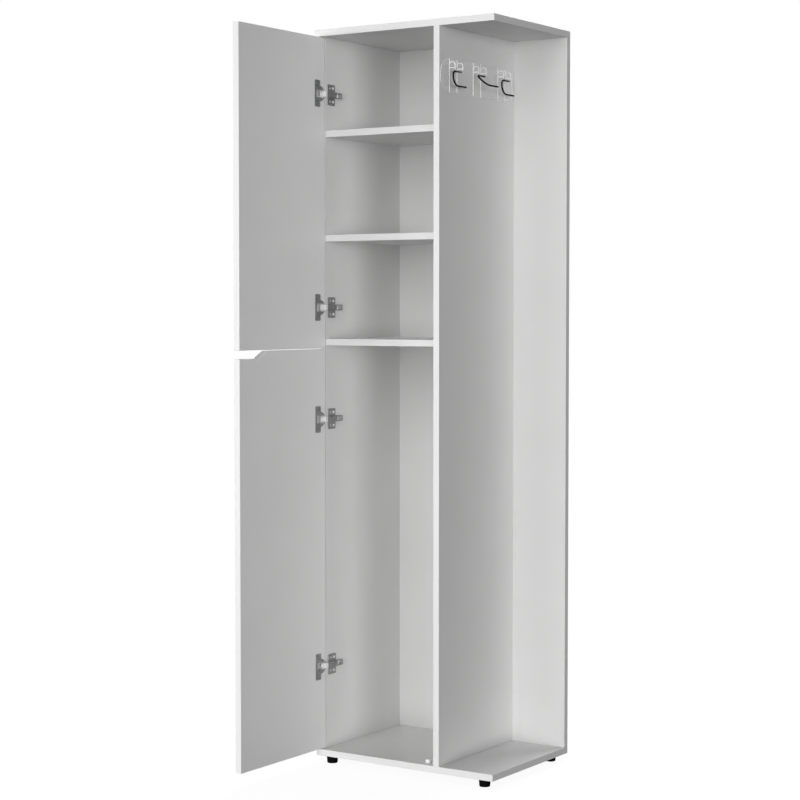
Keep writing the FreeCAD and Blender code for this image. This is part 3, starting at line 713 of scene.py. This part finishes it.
for source, out, target, into in (
        ("NodeGroupInput", "Line", "GeometryNodeMeshToCurve", "Mesh"),
        ("NodeGroupInput", "Radius", "GeometryNodeCurvePrimitiveCircle", "Radius"),
        ("NodeGroupInput", "Radius", "GeometryNodeMeshUVSphere", "Radius"),
        ("GeometryNodeMeshToCurve", "Curve", "GeometryNodeCurveToMesh", "Curve"),
        ("GeometryNodeCurvePrimitiveCircle", "Curve", "GeometryNodeCurveToMesh", "Profile Curve"),
        ("GeometryNodeMeshToCurve", "Curve", "GeometryNodeInstanceOnPoints", "Points"),
        ("GeometryNodeCurveEndpointSelection", "Selection", "GeometryNodeInstanceOnPoints", "Selection"),
        ("GeometryNodeMeshUVSphere", "Mesh", "GeometryNodeInstanceOnPoints", "Instance"),
        ("GeometryNodeCurveToMesh", "Mesh", "GeometryNodeJoinGeometry", "Geometry"),
        ("GeometryNodeInstanceOnPoints", "Instances", "GeometryNodeJoinGeometry", "Geometry"),
        ("GeometryNodeJoinGeometry", "Geometry", "GeometryNodeRealizeInstances", "Geometry"),
        ("GeometryNodeRealizeInstances", "Geometry", "GeometryNodeSetShadeSmooth", "Geometry"),
        ("GeometryNodeSetShadeSmooth", "Geometry", "GeometryNodeSetMaterial", "Geometry"),
        ("NodeGroupInput", "Finish", "GeometryNodeSetMaterial", "Material"),
        ("GeometryNodeSetMaterial", "Geometry", "NodeGroupOutput", "Wire")):
    wire_tree.links.new(wire_nodes[source].outputs[out], wire_nodes[target].inputs[into])
wire_radius = 0.0020
top_arm_end = 0.0145
top_bend, top_bend_radius = (-0.013, -0.009), 0.009
low_bend, low_bend_radius = (0.0, -0.011), 0.022
low_arm_end, low_arm_z = 0.036, -0.033
for place, swing in (("front", 0.0), ("middle", 45.0), ("rear", 0.0)):
    node = "hook_" + place
    holder_low, holder_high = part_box("hook_holder_" + place)
    pivot = Vector((barrel_x, (holder_low.y + holder_high.y) / 2, barrel_z))
    line = [Vector((0, top_arm_end - wire_radius, 0))]
    for y, z in (round_loop(top_bend, top_bend_radius, 12, 90.0, 180.0)
                 + round_loop(low_bend, low_bend_radius, 12, 180.0, 270.0)):
        line.append(Vector((0, y, z)))
    line.append(Vector((0, low_arm_end - wire_radius, low_arm_z)))
    swung = Matrix.Rotation(math.radians(swing), 4, (0, -1, 0))
    hook = grown(node + "_finished", [pivot + swung @ point for point in line],
                 [(n, n + 1) for n in range(len(line) - 1)], wire_tree, {"Radius": wire_radius, "Finish": wire_coat})
    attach(hook, node)
    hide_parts(node)

# Studio: a plain pale floor under a white surround. A row of level lamps and a high one light the front,
# and there is one lamp behind and one above. The camera stands where the photo was taken from.
floor_half, floor_level = 9.0, -0.0002
floor_corners = [(x * floor_half, y * floor_half, floor_level) for x, y in ((-1, -1), (1, -1), (1, 1), (-1, 1))]
floor_mesh = bpy.data.meshes.new("floor")
floor_mesh.from_pydata(floor_corners, [], [(0, 1, 2, 3)])
floor_pale = new_finish("pale_floor", (0.08, 0.08, 0.08), 0.8)
tones(floor_pale, mottle(floor_pale, 2.0), (0.07, 0.07, 0.07), (0.09, 0.09, 0.09))
floor_shader = floor_pale.node_tree.nodes["Principled BSDF"]
floor_shader.inputs["Specular IOR Level"].default_value = 0.0
floor_shader.inputs["Emission Color"].default_value = (1.0, 1.0, 1.0, 1.0)
floor_shader.inputs["Emission Strength"].default_value = 0.95
floor_mesh.materials.append(floor_pale)
floor = bpy.data.objects.new("floor", floor_mesh)
floor.visible_diffuse = False
floor.visible_glossy = False
floor.visible_shadow = False
bpy.context.scene.collection.objects.link(floor)
floor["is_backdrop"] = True
surround = bpy.data.worlds.new("surround")
surround.use_nodes = True
surround_nodes, surround_links = surround.node_tree.nodes, surround.node_tree.links
seen_white = surround_nodes["Background"]
seen_white.inputs["Color"].default_value = (1.0, 1.0, 1.0, 1.0)
seen_white.inputs["Strength"].default_value = 1.0
ambient = surround_nodes.new("ShaderNodeBackground")
ambient.inputs["Color"].default_value = (1.0, 1.0, 1.0, 1.0)
ambient.inputs["Strength"].default_value = 0.03
chosen = surround_nodes.new("ShaderNodeMixShader")
rays = surround_nodes.new("ShaderNodeLightPath")
surround_links.new(rays.outputs["Is Camera Ray"], chosen.inputs["Fac"])
surround_links.new(ambient.outputs["Background"], chosen.inputs[1])
surround_links.new(seen_white.outputs["Background"], chosen.inputs[2])
surround_links.new(chosen.outputs["Shader"], surround_nodes["World Output"].inputs["Surface"])
bpy.context.scene.world = surround
row_power = {-60: 0.26, -40: 0.60, -20: 0.38, 0: 0.10, 20: 0.66, 60: 0.89}  # by degrees to the right of the front
row_height, row_spread = -0.02, 20
lamps = [("row_lamp", (math.sin(math.radians(angle)), -math.cos(math.radians(angle)), row_height), power, row_spread)
         for angle, power in row_power.items()]
lamps += [("high_lamp", (0.2, -0.9, 0.45), 0.80, 40), ("back_lamp", (-0.35, 1.0, 0.3), 2.1, 30),
          ("top_lamp", (0.0, 0.2, 1.0), 1.6, 12)]
for name, place, power, spread in lamps:
    lamp = bpy.data.lights.new(name, "SUN")
    lamp.energy = power
    lamp.angle = math.radians(spread)
    lamp_object = bpy.data.objects.new(name, lamp)
    lamp_object.location = place
    lamp_object.rotation_euler = (-Vector(place)).to_track_quat("-Z", "Y").to_euler()
    bpy.context.scene.collection.objects.link(lamp_object)
bpy.context.scene.view_settings.view_transform = "Standard"
camera = bpy.data.cameras.new("camera")
camera.sensor_width = 36.0
camera.lens = 88.753
camera.clip_end = 60.0
camera_object = bpy.data.objects.new("camera", camera)
camera_object.location = (2.56213, -3.87861, 1.10686)
camera_object.rotation_euler = (math.radians(87.341), 0.0, math.radians(33.642))
bpy.context.scene.collection.objects.link(camera_object)
bpy.context.scene.camera = camera_object

# The box of the finished object.
low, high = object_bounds()
